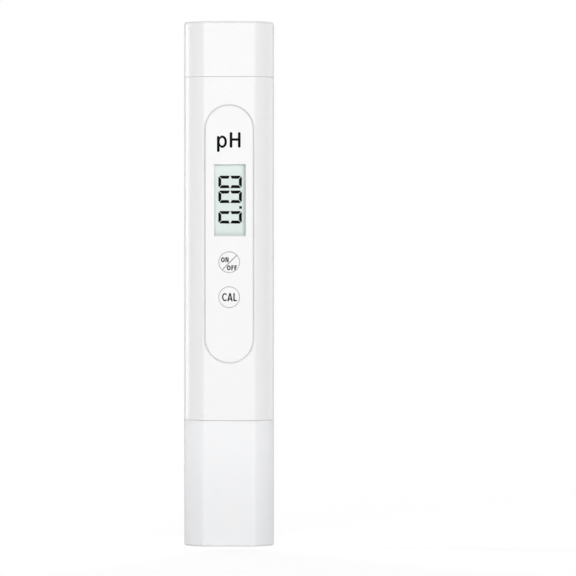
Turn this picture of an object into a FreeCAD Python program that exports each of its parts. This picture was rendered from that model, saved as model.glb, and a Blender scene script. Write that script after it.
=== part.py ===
import FreeCAD, Part
import math
import os
import re
import Sketcher
from FreeCAD import Placement, Rotation, Vector

# A pen-type pH meter. +Z runs up the pen, the display side faces -Y, and the origin is the
# centre of the probe cap's base, which the pen stands on. All sizes are in millimetres.
SIZES = {
    # The pen's section: an octagon with crowned 45 degree facets and softened long edges.
    "total_length": 155.0,
    "body_width": 26.6,
    "body_depth": 17.0,
    "corner_cut": 5.7,
    "facet_crown": 0.7,
    "edge_round": 1.6,
    "side_round": 2.6,
    "least_round": 0.2,
    "seam_round": 0.08,
    # Clearances.
    "seam_gap": 0.06,
    "parting_gap": 0.08,
    "fit_gap": 0.15,
    "play": 0.05,
    # The two body shells.
    "wall": 1.8,
    "end_wall": 1.8,
    "seat_ledge": 1.0,
    "waist_wall": 0.4,
    "flange_thickness": 2.0,
    # The battery cap.
    "battery_cap_wall": 1.5,
    "battery_cap_roof": 1.6,
    "battery_cap_headroom": 0.45,
    "top_round": 0.9,
    # The probe cap and the soaking sponge in it.
    "probe_cap_height": 37.2,
    "probe_cap_wall": 1.4,
    "probe_cap_floor": 1.6,
    "base_round": 0.8,
    "sponge_height": 4.0,
    # The front panel, measured down from the top of the body.
    "panel_drop": 8.6,
    "panel_width": 13.9,
    "panel_length": 75.6,
    "panel_thickness": 0.7,
    "panel_sink": 0.15,
    "panel_groove": 0.45,
    # The display: its centre is measured down from the top of the panel.
    "lcd_drop": 27.8,
    "lcd_offset": 0.22,
    "view_width": 9.3,
    "view_length": 21.2,
    "polarizer_thickness": 0.2,
    "polarizer_margin": 0.6,
    "glass_thickness": 0.7,
    "glass_side_margin": 0.2,
    "glass_end_margin": 2.0,
    "zebra_width": 0.9,
    "frame_web": 0.3,
    "frame_rim": 0.9,
    "frame_floor": 0.8,
    # The keys: the upper one's centre is measured down from the display's view.
    "power_key_drop": 7.7,
    "key_spacing": 10.3,
    "key_diameter": 6.1,
    "key_gap": 0.1,
    "key_proud": 0.1,
    "key_round": 0.2,
    "key_flange": 0.85,
    "key_flange_thickness": 0.75,
    "key_travel": 0.3,
    # The tactile switches under the keys.
    "switch_width": 6.0,
    "switch_clearance": 0.3,
    "plunger_diameter": 3.4,
    "plunger_length": 2.0,
    # The circuit board.
    "board_depth": 2.0,
    "board_thickness": 1.0,
    "board_gap": 0.3,
    "board_margin": 4.1,
    "board_screw_x": 8.0,
    "board_screw_inset": 3.0,
    "chip_width": 7.0,
    "chip_height": 1.4,
    "amplifier_width": 3.9,
    "amplifier_length": 4.9,
    "crystal_diameter": 2.1,
    "crystal_length": 6.2,
    "resistor_length": 1.6,
    "resistor_width": 0.8,
    "resistor_height": 0.5,
    "capacitor_length": 2.0,
    "capacitor_width": 1.25,
    "capacitor_height": 0.9,
    # Screws and their bosses.
    "boss_diameter": 4.6,
    "shell_screw_x": 4.6,
    "shell_screw_diameter": 2.0,
    "shell_head_diameter": 3.4,
    "shell_head_height": 1.3,
    "shell_screw_seat": 3.0,
    "shell_screw_grip": 5.0,
    "board_boss_diameter": 4.0,
    "board_screw_diameter": 1.6,
    "board_head_diameter": 3.0,
    "board_head_height": 1.1,
    "board_screw_grip": 3.0,
    "drive_slot": 0.5,
    "drive_depth": 0.7,
    # The battery holder, its contacts and the two button cells.
    "neck_height": 4.4,
    "seal_drop": 0.5,
    "seal_height": 0.8,
    "seal_depth": 0.5,
    "cell_diameter": 11.6,
    "cell_height": 5.4,
    "cell_rim_height": 0.6,
    "cell_rim_width": 0.7,
    "holder_floor": 1.5,
    "holder_roof": 0.6,
    "holder_side": 1.6,
    "spring_height": 1.2,
    "spring_reach": 3.5,
    "contact_thickness": 0.25,
    "contact_width": 2.0,
    "contact_offset": 1.2,
    "contact_tail": 1.0,
    # The probe: collar, electrode, glass bulb and guard.
    "collar_length": 12.4,
    "electrode_diameter": 10.0,
    "electrode_wall": 0.9,
    "electrode_bottom": 17.0,
    "electrode_headroom": 1.6,
    "ring_section": 1.0,
    "ring_height": 31.0,
    "plug_depth": 3.0,
    "plug_head": 3.0,
    "stem_diameter": 4.0,
    "stem_wall": 0.5,
    "bulb_clearance": 0.6,
    "bulb_wall": 0.35,
    "bulb_height": 12.5,
    "silver_wire": 0.5,
    "silver_wire_tail": 1.0,
    "reference_start": 24.0,
    "junction_diameter": 1.2,
    "guard_wall": 0.7,
    "guard_grip": 4.0,
    "guard_bottom": 7.2,
    "guard_ring": 2.2,
    "guard_window": 4.4,
    # Insulated leads.
    "lead_diameter": 0.8,
    "lead_bend_share": 0.45,
    "lead_stand_off": 2.6,
}

# Places worked out from the sizes.
FORMULAS = {
    "half_depth": "body_depth / 2",
    "facet_half": "corner_cut / sqrt(2)",
    "crown_round": "(facet_half - 0.35 * max(edge_round; side_round) - 0.1)"
                   " * facet_half / facet_crown",
    "inner_depth": "half_depth - wall",
    "inner_width": "body_width / 2 - wall",
    "passage_inset": "min(wall + seat_ledge; "
                     "half_depth - electrode_diameter / 2 - waist_wall - fit_gap)",
    "body_bottom": "probe_cap_height + seam_gap",
    "battery_cap_height": "holder_floor + spring_height + 2 * cell_height + contact_thickness"
                          " + holder_roof + battery_cap_headroom + battery_cap_roof - seam_gap",
    "battery_cap_bottom": "total_length - battery_cap_height",
    "body_top": "battery_cap_bottom - seam_gap",
    "panel_top": "body_top - panel_drop",
    "panel_bottom": "panel_top - panel_length",
    "panel_face": "half_depth - panel_sink",
    "panel_back": "panel_face - panel_thickness",
    "lcd_height": "panel_top - lcd_drop",
    "power_height": "lcd_height - view_length / 2 - power_key_drop",
    "calibration_height": "power_height - key_spacing",
    "lcd_face": "inner_depth - play",
    "front_glass_face": "lcd_face - polarizer_thickness",
    "rear_glass_face": "front_glass_face - glass_thickness",
    "rear_polarizer_face": "rear_glass_face - glass_thickness",
    "rear_glass_width": "view_width + 2 * glass_side_margin",
    "glass_length": "view_length + 2 * glass_end_margin",
    "zebra_inside": "rear_glass_width / 2 + frame_web + 2 * play",
    "zebra_outside": "zebra_inside + zebra_width",
    "key_flange_face": "inner_depth - play",
    "key_flange_back": "key_flange_face - key_flange_thickness",
    "key_face": "panel_face + key_proud",
    "plunger_top": "key_flange_back - play",
    "switch_top": "key_flange_back - key_travel - switch_clearance",
    "board_back": "board_depth - board_thickness",
    "board_bottom": "calibration_height - board_margin",
    "holder_flange_bottom": "body_top - end_wall - flange_thickness",
    "upper_screw": "holder_flange_bottom - board_gap - boss_diameter / 2",
    "lower_screw": "board_bottom - board_gap - boss_diameter / 2",
    "board_top": "upper_screw - boss_diameter / 2 - board_gap",
    "holder_floor_top": "body_top + holder_floor",
    "cells_bottom": "holder_floor_top + spring_height",
    "cells_top": "cells_bottom + 2 * cell_height",
    "spring_rise": "spring_height - contact_thickness",
    "spring_curve": "(spring_reach * spring_reach + spring_rise * spring_rise) / (2 * spring_rise)",
    "holder_roof_bottom": "cells_top + contact_thickness",
    "holder_roof_top": "holder_roof_bottom + holder_roof",
    "contact_back": "cell_diameter / 2 + 2 * fit_gap + contact_thickness",
    "strip_middle": "contact_back - contact_thickness / 2",
    "high_pad": "board_top - board_screw_inset",
    "collar_bottom": "body_bottom - collar_length",
    "collar_top": "body_bottom + end_wall + flange_thickness",
    "electrode_top": "lower_screw - boss_diameter / 2 - electrode_headroom - plug_head",
    "electrode_bore": "electrode_diameter - 2 * electrode_wall",
    "plug_top": "electrode_top + plug_head",
    "wire_top": "plug_top + silver_wire_tail",
    "bulb_diameter": "electrode_bore - 2 * bulb_clearance",
    "annulus_middle": "(electrode_bore + stem_diameter) / 4",
    "guard_outside": "electrode_diameter + 2 * (play + guard_wall)",
}

WORD = re.compile(r"[a-z_]+")
ALONG_Y = Rotation(Vector(1, 0, 0), -90)
ALONG_Z = Rotation()
OVERRUN = 1.0
SAME = 1e-4
ORIGIN = (-1, 1)
ACROSS_AXIS = -1
UP_AXIS = -2

doc = FreeCAD.newDocument("ph_meter")
sheet = doc.addObject("Spreadsheet::Sheet", "dims")
sub_parts = []


def fill_sheet():
    """Write every size into the sheet as a number with its name as alias."""
    for row, (alias, size) in enumerate(SIZES.items(), start=1):
        sheet.set(f"A{row}", alias)
        sheet.set(f"B{row}", str(size))
        sheet.setAlias(f"B{row}", alias)
    doc.recompute()


def expand(formula):
    """Turn a formula of size names into an expression on the sheet."""
    def swap(match):
        word = match.group(0)
        if word in FORMULAS:
            return "(" + expand(FORMULAS[word]) + ")"
        return "dims." + word if word in SIZES else word

    return WORD.sub(swap, str(formula))


def size(formula):
    """The present value of a formula."""
    return float(sheet.evalExpression(expand(formula)))


def bind(piece, target, formula):
    piece.setExpression(target, expand(formula))


def minus(formula):
    return f"-({formula})"


def sub_part(piece, label):
    """Name an object of the document as one sub-part of the meter."""
    piece.Label = label
    sub_parts.append(piece)
    return piece


# ---------------------------------------------------------------- primitives and booleans

def box(name, x, y, z):
    """A block between two formulas along each axis."""
    piece = doc.addObject("Part::Box", name)
    for (low, high), length, axis in zip((x, y, z), ("Length", "Width", "Height"), "xyz"):
        bind(piece, length, f"({high}) - ({low})")
        bind(piece, "Placement.Base." + axis, low)
    return piece


def middle_box(name, middle, width, y, z):
    """A block of a given width about x = middle."""
    x = (f"({middle}) - ({width}) / 2", f"({middle}) + ({width}) / 2")
    return box(name, x, y, z)


def cylinder(name, diameter, start, end, turn, x="0", y="0", z="0"):
    """A round bar from start to end along Y or Z."""
    piece = doc.addObject("Part::Cylinder", name)
    bind(piece, "Radius", f"({diameter}) / 2")
    bind(piece, "Height", f"({end}) - ({start})")
    piece.Placement = Placement(Vector(), turn)
    base = {"x": x, "y": y, "z": z}
    base["y" if turn is ALONG_Y else "z"] = start
    for axis, formula in base.items():
        bind(piece, "Placement.Base." + axis, formula)
    return piece


def cut(name, base, tools):
    piece = doc.addObject("Part::Cut", name)
    piece.Base = base
    piece.Tool = tools[0] if len(tools) == 1 else fuse(name + "_tools", tools)
    return piece


def fuse(name, shapes):
    piece = doc.addObject("Part::MultiFuse", name)
    piece.Shapes = shapes
    return piece


def common(name, base, tool):
    piece = doc.addObject("Part::Common", name)
    piece.Base = base
    piece.Tool = tool
    return piece


def group(name, pieces):
    """Identical pieces that share one node."""
    piece = doc.addObject("Part::Compound", name)
    piece.Links = pieces
    return piece


# ---------------------------------------------------------------- bodies and sketches

def new_body(name):
    return doc.addObject("PartDesign::Body", name)


def new_sketch(body, name, plane, lift):
    """An empty sketch on a plane of the body's own origin, raised along its normal."""
    sketch = body.newObject("Sketcher::SketchObject", name)
    support = [item for item in body.Origin.OriginFeatures if item.Role == plane]
    sketch.AttachmentSupport = [(support[0], "")]
    sketch.MapMode = "FlatFace"
    bind(sketch, "AttachmentOffset.Base.z", lift)
    return sketch


def pin(sketch, item, point, across, up):
    """Hold a sketch point at a place given by two formulas."""
    for kind, formula, axis in (("DistanceX", across, UP_AXIS), ("DistanceY", up, ACROSS_AXIS)):
        place = size(formula)
        if abs(place) < SAME:
            sketch.addConstraint(Sketcher.Constraint("PointOnObject", item, point, axis))
        elif place > 0:
            rule = Sketcher.Constraint(kind, *ORIGIN, item, point, place)
            bind(sketch, f"Constraints[{sketch.addConstraint(rule)}]", formula)
        else:
            rule = Sketcher.Constraint(kind, item, point, *ORIGIN, -place)
            bind(sketch, f"Constraints[{sketch.addConstraint(rule)}]", minus(formula))


def draw_polygon(sketch, corners):
    """A closed run of straight lines with every corner held."""
    points = [Vector(size(across), size(up), 0) for across, up in corners]
    first = sketch.GeometryCount
    for start, end in zip(points, points[1:] + points[:1]):
        sketch.addGeometry(Part.LineSegment(start, end), False)
    for index, (across, up) in enumerate(corners):
        following = (index + 1) % len(corners)
        sketch.addConstraint(
            Sketcher.Constraint("Coincident", first + index, 2, first + following, 1))
        pin(sketch, first + index, 1, across, up)


def draw_circle(sketch, across, up, diameter):
    centre = Vector(size(across), size(up), 0)
    item = sketch.addGeometry(Part.Circle(centre, Vector(0, 0, 1), size(diameter) / 2), False)
    rule = sketch.addConstraint(Sketcher.Constraint("Diameter", item, size(diameter)))
    bind(sketch, f"Constraints[{rule}]", diameter)
    pin(sketch, item, 3, across, up)


def draw_rectangle(sketch, across, up, width, height):
    """A rectangle about a centre."""
    left = f"({across}) - ({width}) / 2"
    right = f"({across}) + ({width}) / 2"
    low = f"({up}) - ({height}) / 2"
    high = f"({up}) + ({height}) / 2"
    draw_polygon(sketch, [(left, low), (right, low), (right, high), (left, high)])


def draw_stadium(sketch, width, low, high):
    """An upright slot shape on the centre line, between two end heights."""
    radius = f"({width}) / 2"
    low_centre = f"({low}) + {radius}"
    high_centre = f"({high}) - {radius}"
    reach = size(radius)
    bottom = Vector(0, size(low_centre), 0)
    top = Vector(0, size(high_centre), 0)
    right = Vector(reach, 0, 0)
    normal = Vector(0, 0, 1)
    first = sketch.GeometryCount
    sketch.addGeometry(Part.LineSegment(bottom + right, top + right), False)
    sketch.addGeometry(Part.ArcOfCircle(Part.Circle(top, normal, reach), 0, math.pi), False)
    sketch.addGeometry(Part.LineSegment(top - right, bottom - right), False)
    lower = Part.ArcOfCircle(Part.Circle(bottom, normal, reach), math.pi, 2 * math.pi)
    sketch.addGeometry(lower, False)
    for item, point, other, other_point in ((0, 2, 1, 1), (1, 2, 2, 1), (2, 2, 3, 1), (3, 2, 0, 1)):
        sketch.addConstraint(
            Sketcher.Constraint("Tangent", first + item, point, first + other, other_point))
    sketch.addConstraint(Sketcher.Constraint("Equal", first + 1, first + 3))
    rule = sketch.addConstraint(Sketcher.Constraint("Radius", first + 1, reach))
    bind(sketch, f"Constraints[{rule}]", radius)
    pin(sketch, first + 1, 3, "0", high_centre)
    pin(sketch, first + 3, 3, "0", low_centre)


def pad(body, sketch, length):
    """Raise a sketch along its normal."""
    feature = body.newObject("PartDesign::Pad", sketch.Name + "_pad")
    feature.Profile = sketch
    bind(feature, "Length", length)
    sketch.Visibility = False
    doc.recompute()
    return feature


def revolve(body, name, corners):
    """Turn a half section of (radius, height) corners about the pen's axis."""
    sketch = new_sketch(body, name + "_section", "XZ_Plane", "0")
    draw_polygon(sketch, corners)
    feature = body.newObject("PartDesign::Revolution", name + "_turn")
    feature.Profile = sketch
    feature.ReferenceAxis = (sketch, ["V_Axis"])
    feature.Angle = 360
    doc.recompute()
    return feature


def soften(body, name, test, radius):
    """Round the edges of the body's tip that pass a test."""
    tip = body.Tip
    edges = [f"Edge{number}" for number, edge in enumerate(tip.Shape.Edges, start=1) if test(edge)]
    feature = body.newObject("PartDesign::Fillet", name)
    feature.Base = (tip, edges)
    bind(feature, "Radius", radius)
    doc.recompute()
    return feature


def upright_at(axis, place):
    """A test for straight upright edges at a distance from the middle plane of an axis."""
    def test(edge):
        box_of = edge.BoundBox
        middle = getattr(box_of.Center, axis)
        return box_of.XLength + box_of.YLength < SAME and abs(abs(middle) - place) < SAME

    return test


def level_at(height):
    """A test for edges that lie at one height."""
    def test(edge):
        box_of = edge.BoundBox
        return abs(box_of.ZMin - height) < SAME and abs(box_of.ZMax - height) < SAME

    return test


def prism(name, inset, bottom, top, bottom_round=None, top_round=None):
    """A straight length of the pen's octagonal section, inset all round.

    A length with rounded ends is an outer skin, and its four facets are crowned.
    """
    body = new_body(name)
    half_width = f"(body_width / 2 - ({inset}))"
    half_depth = f"(body_depth / 2 - ({inset}))"
    leg = f"(corner_cut - (2 - sqrt(2)) * ({inset}))"
    flat = f"{half_width} - {leg}"
    side = f"{half_depth} - {leg}"
    quarter = [(flat, half_depth), (half_width, side)]
    crown = f"{half_width} - corner_cut / 2 + facet_crown / sqrt(2)"
    if bottom_round:
        quarter.insert(1, (crown, f"{half_depth} - corner_cut / 2 + facet_crown / sqrt(2)"))
    corners = [(across, minus(up)) for across, up in quarter]
    corners += [(across, up) for across, up in reversed(quarter)]
    corners += [(minus(across), up) for across, up in quarter]
    corners += [(minus(across), minus(up)) for across, up in reversed(quarter)]
    sketch = new_sketch(body, name + "_section", "XY_Plane", bottom)
    draw_polygon(sketch, corners)
    pad(body, sketch, f"({top}) - ({bottom})")
    inner = f"max(edge_round - ({inset}); least_round)"
    outer = f"max(side_round - ({inset}); least_round)"
    if bottom_round:
        soften(body, name + "_crowns", upright_at("x", size(crown)), "crown_round")
    soften(body, name + "_face_edges", upright_at("y", size(half_depth)), inner)
    soften(body, name + "_side_edges", upright_at("x", size(half_width)), outer)
    if bottom_round:
        soften(body, name + "_bottom_edge", level_at(size(bottom)), bottom_round)
    if top_round:
        soften(body, name + "_top_edge", level_at(size(top)), top_round)
    return body


# ---------------------------------------------------------------- shells, caps and panel

def shell_tube():
    """The whole body casing before it is parted: end walls with a passage through them."""
    outer = prism("casing", "0", "body_bottom", "body_top", "seam_round", "seam_round")
    cavity = prism("cavity", "wall", "body_bottom + end_wall", "body_top - end_wall")
    passage = prism("passage", "passage_inset", f"body_bottom - {OVERRUN}",
                    f"body_top + {OVERRUN}")
    return cut("casing_tube", outer, [cavity, passage])


def half_space(name, side):
    """A block that covers one side of the parting plane; side is -1 for the display side."""
    reach = "body_width"
    if side < 0:
        y = (minus(reach), "parting_gap / 2")
    else:
        y = ("-parting_gap / 2", reach)
    return box(name, (minus(reach), reach), y, ("0", "total_length"))


def screw_places():
    """The four shell screws: (name, x, z)."""
    for level in ("lower", "upper"):
        for side, sign in (("left", "-"), ("right", "")):
            yield f"{level}_{side}", f"{sign}shell_screw_x", f"{level}_screw"


def board_screw_places():
    """The four board screws: (name, x, z)."""
    levels = {
        "lower": "board_bottom + board_screw_inset",
        "upper": "board_top - board_screw_inset",
    }
    for level, height in levels.items():
        for side, sign in (("left", "-"), ("right", "")):
            yield f"{level}_{side}", f"{sign}board_screw_x", height


def trimmed_bosses(name, bosses):
    """Bosses that grow out of the shell wall and never reach its outer skin."""
    trim = prism(name + "_trim", "wall / 2", "body_bottom + end_wall", "body_top - end_wall")
    return common(name, fuse(name + "_bars", bosses), trim)


def front_shell(tube):
    """The display half: window, key holes, panel seat and the bosses that carry the board."""
    half = cut("front_half", tube, [half_space("rear_side", 1)])
    bosses = []
    pilots = []
    for name, x, z in screw_places():
        bosses.append(cylinder(f"front_boss_{name}", "boss_diameter", minus("half_depth"),
                               "-parting_gap / 2", ALONG_Y, x=x, z=z))
        pilots.append(cylinder(f"front_pilot_{name}", "shell_screw_diameter",
                               "-shell_screw_grip - play", f"{OVERRUN}", ALONG_Y, x=x, z=z))
    for name, x, z in board_screw_places():
        bosses.append(cylinder(f"board_boss_{name}", "board_boss_diameter", minus("half_depth"),
                               "-board_depth", ALONG_Y, x=x, z=z))
        pilots.append(cylinder(f"board_pilot_{name}", "board_screw_diameter",
                               "-board_depth - board_screw_grip - play", f"{OVERRUN}",
                               ALONG_Y, x=x, z=z))
    solid = fuse("front_with_bosses", [half, trimmed_bosses("front_bosses", bosses)])
    seat = new_body("panel_seat")
    sketch = new_sketch(seat, "panel_seat_outline", "XZ_Plane", "panel_back")
    draw_stadium(sketch, "panel_width + 2 * panel_groove", "panel_bottom - panel_groove",
                 "panel_top + panel_groove")
    pad(seat, sketch, f"half_depth - panel_back + {OVERRUN}")
    window = middle_box("display_opening", "lcd_offset", "view_width + 2 * fit_gap",
                        ("-half_depth", "0 - inner_depth + least_round"),
                        ("lcd_height - view_length / 2 - fit_gap",
                         "lcd_height + view_length / 2 + fit_gap"))
    holes = [cylinder(f"{key}_key_hole", "key_diameter + 2 * key_gap", "-half_depth",
                      "-inner_depth + least_round", ALONG_Y, z=f"{key}_height")
             for key in ("power", "calibration")]
    return sub_part(cut("front_shell", solid, [seat, window] + holes + pilots), "front_shell")


def rear_shell(tube):
    """The plain back half, with sunk bosses for the four shell screws."""
    half = cut("rear_half", tube, [half_space("front_side", -1)])
    bosses = []
    holes = []
    for name, x, z in screw_places():
        bosses.append(cylinder(f"rear_boss_{name}", "boss_diameter", "parting_gap / 2",
                               "half_depth", ALONG_Y, x=x, z=z))
        holes.append(cylinder(f"rear_hole_{name}", "shell_screw_diameter + 2 * fit_gap",
                              minus("half_depth"), "half_depth", ALONG_Y, x=x, z=z))
        holes.append(cylinder(f"rear_sink_{name}", "shell_head_diameter + 2 * fit_gap",
                              "shell_screw_seat", f"half_depth + {OVERRUN}", ALONG_Y, x=x, z=z))
    holes.append(middle_box("contact_notch", "contact_offset", "contact_width + 2 * fit_gap",
                            ("0", "strip_middle + lead_diameter / 2 + play"),
                            ("high_pad - lead_diameter", f"body_top + {OVERRUN}")))
    solid = fuse("rear_with_bosses", [half, trimmed_bosses("rear_bosses", bosses)])
    return sub_part(cut("rear_shell", solid, holes), "rear_shell")


def battery_cap():
    """The pull-off cup over the cells."""
    outer = prism("battery_cap_skin", "0", "battery_cap_bottom", "total_length",
                  "seam_round", "top_round")
    hollow = prism("battery_cap_hollow", "battery_cap_wall", f"battery_cap_bottom - {OVERRUN}",
                   "total_length - battery_cap_roof")
    return sub_part(cut("battery_cap", outer, [hollow]), "battery_cap")


def probe_cap():
    """The pull-off cup over the probe; the pen stands on its base."""
    outer = prism("probe_cap_skin", "0", "0", "probe_cap_height", "base_round", "seam_round")
    hollow = prism("probe_cap_hollow", "probe_cap_wall", "probe_cap_floor",
                   f"probe_cap_height + {OVERRUN}")
    return sub_part(cut("probe_cap", outer, [hollow]), "probe_cap")


def soaking_sponge():
    sponge = prism("soaking_sponge", "probe_cap_wall + fit_gap", "probe_cap_floor",
                   "probe_cap_floor + sponge_height")
    return sub_part(sponge, "soaking_sponge")


def front_panel():
    """The round-ended plate with the display window and the two key holes."""
    body = new_body("front_panel")
    sketch = new_sketch(body, "front_panel_outline", "XZ_Plane", "panel_back")
    draw_stadium(sketch, "panel_width", "panel_bottom", "panel_top")
    draw_rectangle(sketch, "lcd_offset", "lcd_height", "view_width", "view_length")
    for key in ("power", "calibration"):
        draw_circle(sketch, "0", f"{key}_height", "key_diameter + 2 * key_gap")
    pad(body, sketch, "panel_thickness")
    return sub_part(body, "front_panel")


# ---------------------------------------------------------------- display

def lcd_layer(name, width, length, face, thickness):
    """One flat layer of the display, given by the depth of its front face."""
    layer = middle_box(name, "lcd_offset", width, (f"-({face})", f"-({face}) + ({thickness})"),
                       (f"lcd_height - ({length}) / 2", f"lcd_height + ({length}) / 2"))
    return layer


def display():
    """Polarizers, two glasses, two rubber contact strips and the frame that holds them."""
    film_width = "view_width + 2 * polarizer_margin"
    film_length = "view_length + 2 * polarizer_margin"
    sub_part(lcd_layer("lcd_front_polarizer", film_width, film_length, "lcd_face",
                       "polarizer_thickness"), "lcd_front_polarizer")
    sub_part(lcd_layer("lcd_front_glass", "2 * (zebra_outside + play)", "glass_length",
                       "front_glass_face", "glass_thickness"), "lcd_front_glass")
    sub_part(lcd_layer("lcd_rear_glass", "rear_glass_width", "glass_length",
                       "rear_glass_face", "glass_thickness"), "lcd_rear_glass")
    sub_part(lcd_layer("lcd_reflector", "rear_glass_width", film_length,
                       "rear_polarizer_face", "polarizer_thickness"), "lcd_reflector")
    rear = ("-rear_glass_face", "-board_depth")
    slots = []
    for side, sign in (("left", "-1"), ("right", "1")):
        middle = f"lcd_offset + {sign} * (zebra_inside + zebra_outside) / 2"
        half = "glass_length / 2"
        strip = middle_box(f"zebra_strip_{side}", middle, "zebra_width", rear,
                           (f"lcd_height - {half}", f"lcd_height + {half}"))
        sub_part(strip, f"zebra_strip_{side}")
        slots.append(middle_box(f"zebra_slot_{side}", middle, "zebra_width + 2 * play",
                                ("-half_depth", "0"),
                                (f"lcd_height - {half} - play", f"lcd_height + {half} + play")))
    block = lcd_layer("frame_block", "2 * (zebra_outside + play + frame_rim)",
                      "glass_length + 2 * (play + frame_rim)", "rear_glass_face",
                      "rear_glass_face - board_depth")
    bed = lcd_layer("glass_bed", "rear_glass_width + 2 * play", "glass_length + 2 * play",
                    "rear_glass_face + play", "glass_thickness + polarizer_thickness + 2 * play")
    hollow = lcd_layer("frame_hollow", "rear_glass_width - 2 * frame_rim",
                       "glass_length - 2 * frame_rim", "board_depth + frame_floor",
                       "frame_floor + play")
    return sub_part(cut("lcd_frame", block, slots + [bed, hollow]), "lcd_frame")


# ---------------------------------------------------------------- keys and switches

def key(name):
    """A round key with a flange that stops it behind the shell."""
    body = new_body(f"{name}_button")
    height = f"{name}_height"
    flange = new_sketch(body, f"{name}_flange", "XZ_Plane", "key_flange_back")
    draw_circle(flange, "0", height, "key_diameter + 2 * key_flange")
    pad(body, flange, "key_flange_thickness")
    stem = new_sketch(body, f"{name}_stem", "XZ_Plane", "key_flange_back")
    draw_circle(stem, "0", height, "key_diameter")
    pad(body, stem, "key_face - key_flange_back")
    face = -size("key_face")
    soften(body, f"{name}_rim", lambda edge: abs(edge.BoundBox.YMax - face) < SAME, "key_round")
    return sub_part(body, f"{name}_button")


def tactile_switch(name):
    """A square switch housing on the board, and the plunger that the key presses."""
    height = f"{name}_height"
    half = "switch_width / 2"
    housing = box(f"{name}_housing", (minus(half), half), ("-switch_top", "-board_depth"),
                  (f"{height} - {half}", f"{height} + {half}"))
    well = cylinder(f"{name}_well", "plunger_diameter + 4 * play", f"-switch_top - {OVERRUN}",
                    "-plunger_top + plunger_length + key_travel + play", ALONG_Y, z=height)
    sub_part(cut(f"{name}_switch_housing", housing, [well]), f"{name}_switch_housing")
    plunger = cylinder(f"{name}_switch_plunger", "plunger_diameter", "-plunger_top",
                       "-plunger_top + plunger_length", ALONG_Y, z=height)
    return sub_part(plunger, f"{name}_switch_plunger")


# ---------------------------------------------------------------- circuit board

def main_board():
    """The circuit board with its four screw holes."""
    half = "inner_width - board_gap"
    blank = box("board_blank", (minus(half), half), ("-board_depth", "-board_back"),
                ("board_bottom", "board_top"))
    holes = [cylinder(f"board_hole_{name}", "board_screw_diameter + 2 * fit_gap",
                      "-half_depth", "0", ALONG_Y, x=x, z=z)
             for name, x, z in board_screw_places()]
    return sub_part(cut("main_board", blank, holes), "main_board")


def on_board(name, x, z, width, length, height):
    """A block that stands on the back face of the board, about (x, z)."""
    rear = "-board_back"
    return middle_box(name, x, width, (rear, f"{rear} + {height}"),
                      (f"({z}) - ({length}) / 2", f"({z}) + ({length}) / 2"))


def board_components():
    """What the board carries on its back face."""
    sub_part(on_board("controller_chip", "0", "lcd_height", "chip_width", "chip_width",
                      "chip_height"), "controller_chip")
    sub_part(on_board("amplifier_chip", "0", "(power_height + calibration_height) / 2",
                      "amplifier_width", "amplifier_length", "chip_height"), "amplifier_chip")
    crystal = cylinder("crystal_can", "crystal_diameter", "power_height",
                       "power_height + crystal_length", ALONG_Z, x="chip_width",
                       y="-board_back + crystal_diameter / 2")
    sub_part(crystal, "crystal_can")
    resistors = []
    for row in range(3):
        for side, sign in (("left", "-"), ("right", "")):
            z = f"lcd_height + chip_width + {row} * 2 * resistor_length"
            resistors.append(on_board(f"resistor_{side}_{row}", f"{sign}chip_width / 2", z,
                                      "resistor_width", "resistor_length", "resistor_height"))
    sub_part(group("surface_resistors", resistors), "surface_resistors")
    capacitors = []
    for column, x in enumerate(("-chip_width", "-chip_width / 3", "chip_width / 3")):
        capacitors.append(on_board(f"capacitor_{column}", x, "power_height + chip_width / 2",
                                   "capacitor_width", "capacitor_length", "capacitor_height"))
    sub_part(group("surface_capacitors", capacitors), "surface_capacitors")


def screw(name, x, z, seat, tip, shank, head, head_height):
    """A cross-headed screw along -Y: its head stands behind seat, its shank ends at tip."""
    bar = cylinder(f"{name}_shank", f"{shank} - 2 * play", tip, seat, ALONG_Y, x=x, z=z)
    top = cylinder(f"{name}_head", head, seat, f"({seat}) + ({head_height})", ALONG_Y, x=x, z=z)
    sunk = (f"({seat}) + ({head_height}) - drive_depth", f"({seat}) + ({head_height}) + {OVERRUN}")
    arm = f"({head}) / 3"
    wide = box(f"{name}_slot_wide", (f"({x}) - {arm}", f"({x}) + {arm}"), sunk,
               (f"({z}) - drive_slot / 2", f"({z}) + drive_slot / 2"))
    tall = box(f"{name}_slot_tall", (f"({x}) - drive_slot / 2", f"({x}) + drive_slot / 2"), sunk,
               (f"({z}) - {arm}", f"({z}) + {arm}"))
    return cut(name, fuse(f"{name}_blank", [bar, top]), [wide, tall])


def screws():
    shell_set = [screw(f"shell_screw_{name}", x, z, "shell_screw_seat", "-shell_screw_grip",
                       "shell_screw_diameter", "shell_head_diameter", "shell_head_height")
                 for name, x, z in screw_places()]
    sub_part(group("shell_screws", shell_set), "shell_screws")
    board_set = [screw(f"board_screw_{name}", x, z, "-board_back",
                       "-board_depth - board_screw_grip", "board_screw_diameter",
                       "board_head_diameter", "board_head_height")
                 for name, x, z in board_screw_places()]
    sub_part(group("board_screws", board_set), "board_screws")


# ---------------------------------------------------------------- battery compartment

def seal_ring(name, cap_wall, low, high):
    """A rubber band of the pen's section that fills a groove round a neck."""
    outer = prism(name + "_outside", f"{cap_wall} + 2 * play", low, high)
    inner = prism(name + "_inside", f"{cap_wall} + fit_gap + seal_depth",
                  f"({low}) - {OVERRUN}", f"({high}) + {OVERRUN}")
    return sub_part(cut(name, outer, [inner]), name)


def seal_groove(name, cap_wall, low, high):
    """The cutter for the groove that a seal ring lies in."""
    outer = prism(name + "_outside", "0", low, high)
    inner = prism(name + "_inside", f"{cap_wall} + fit_gap + seal_depth",
                  f"({low}) - {OVERRUN}", f"({high}) + {OVERRUN}")
    return cut(name, outer, [inner])


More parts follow.
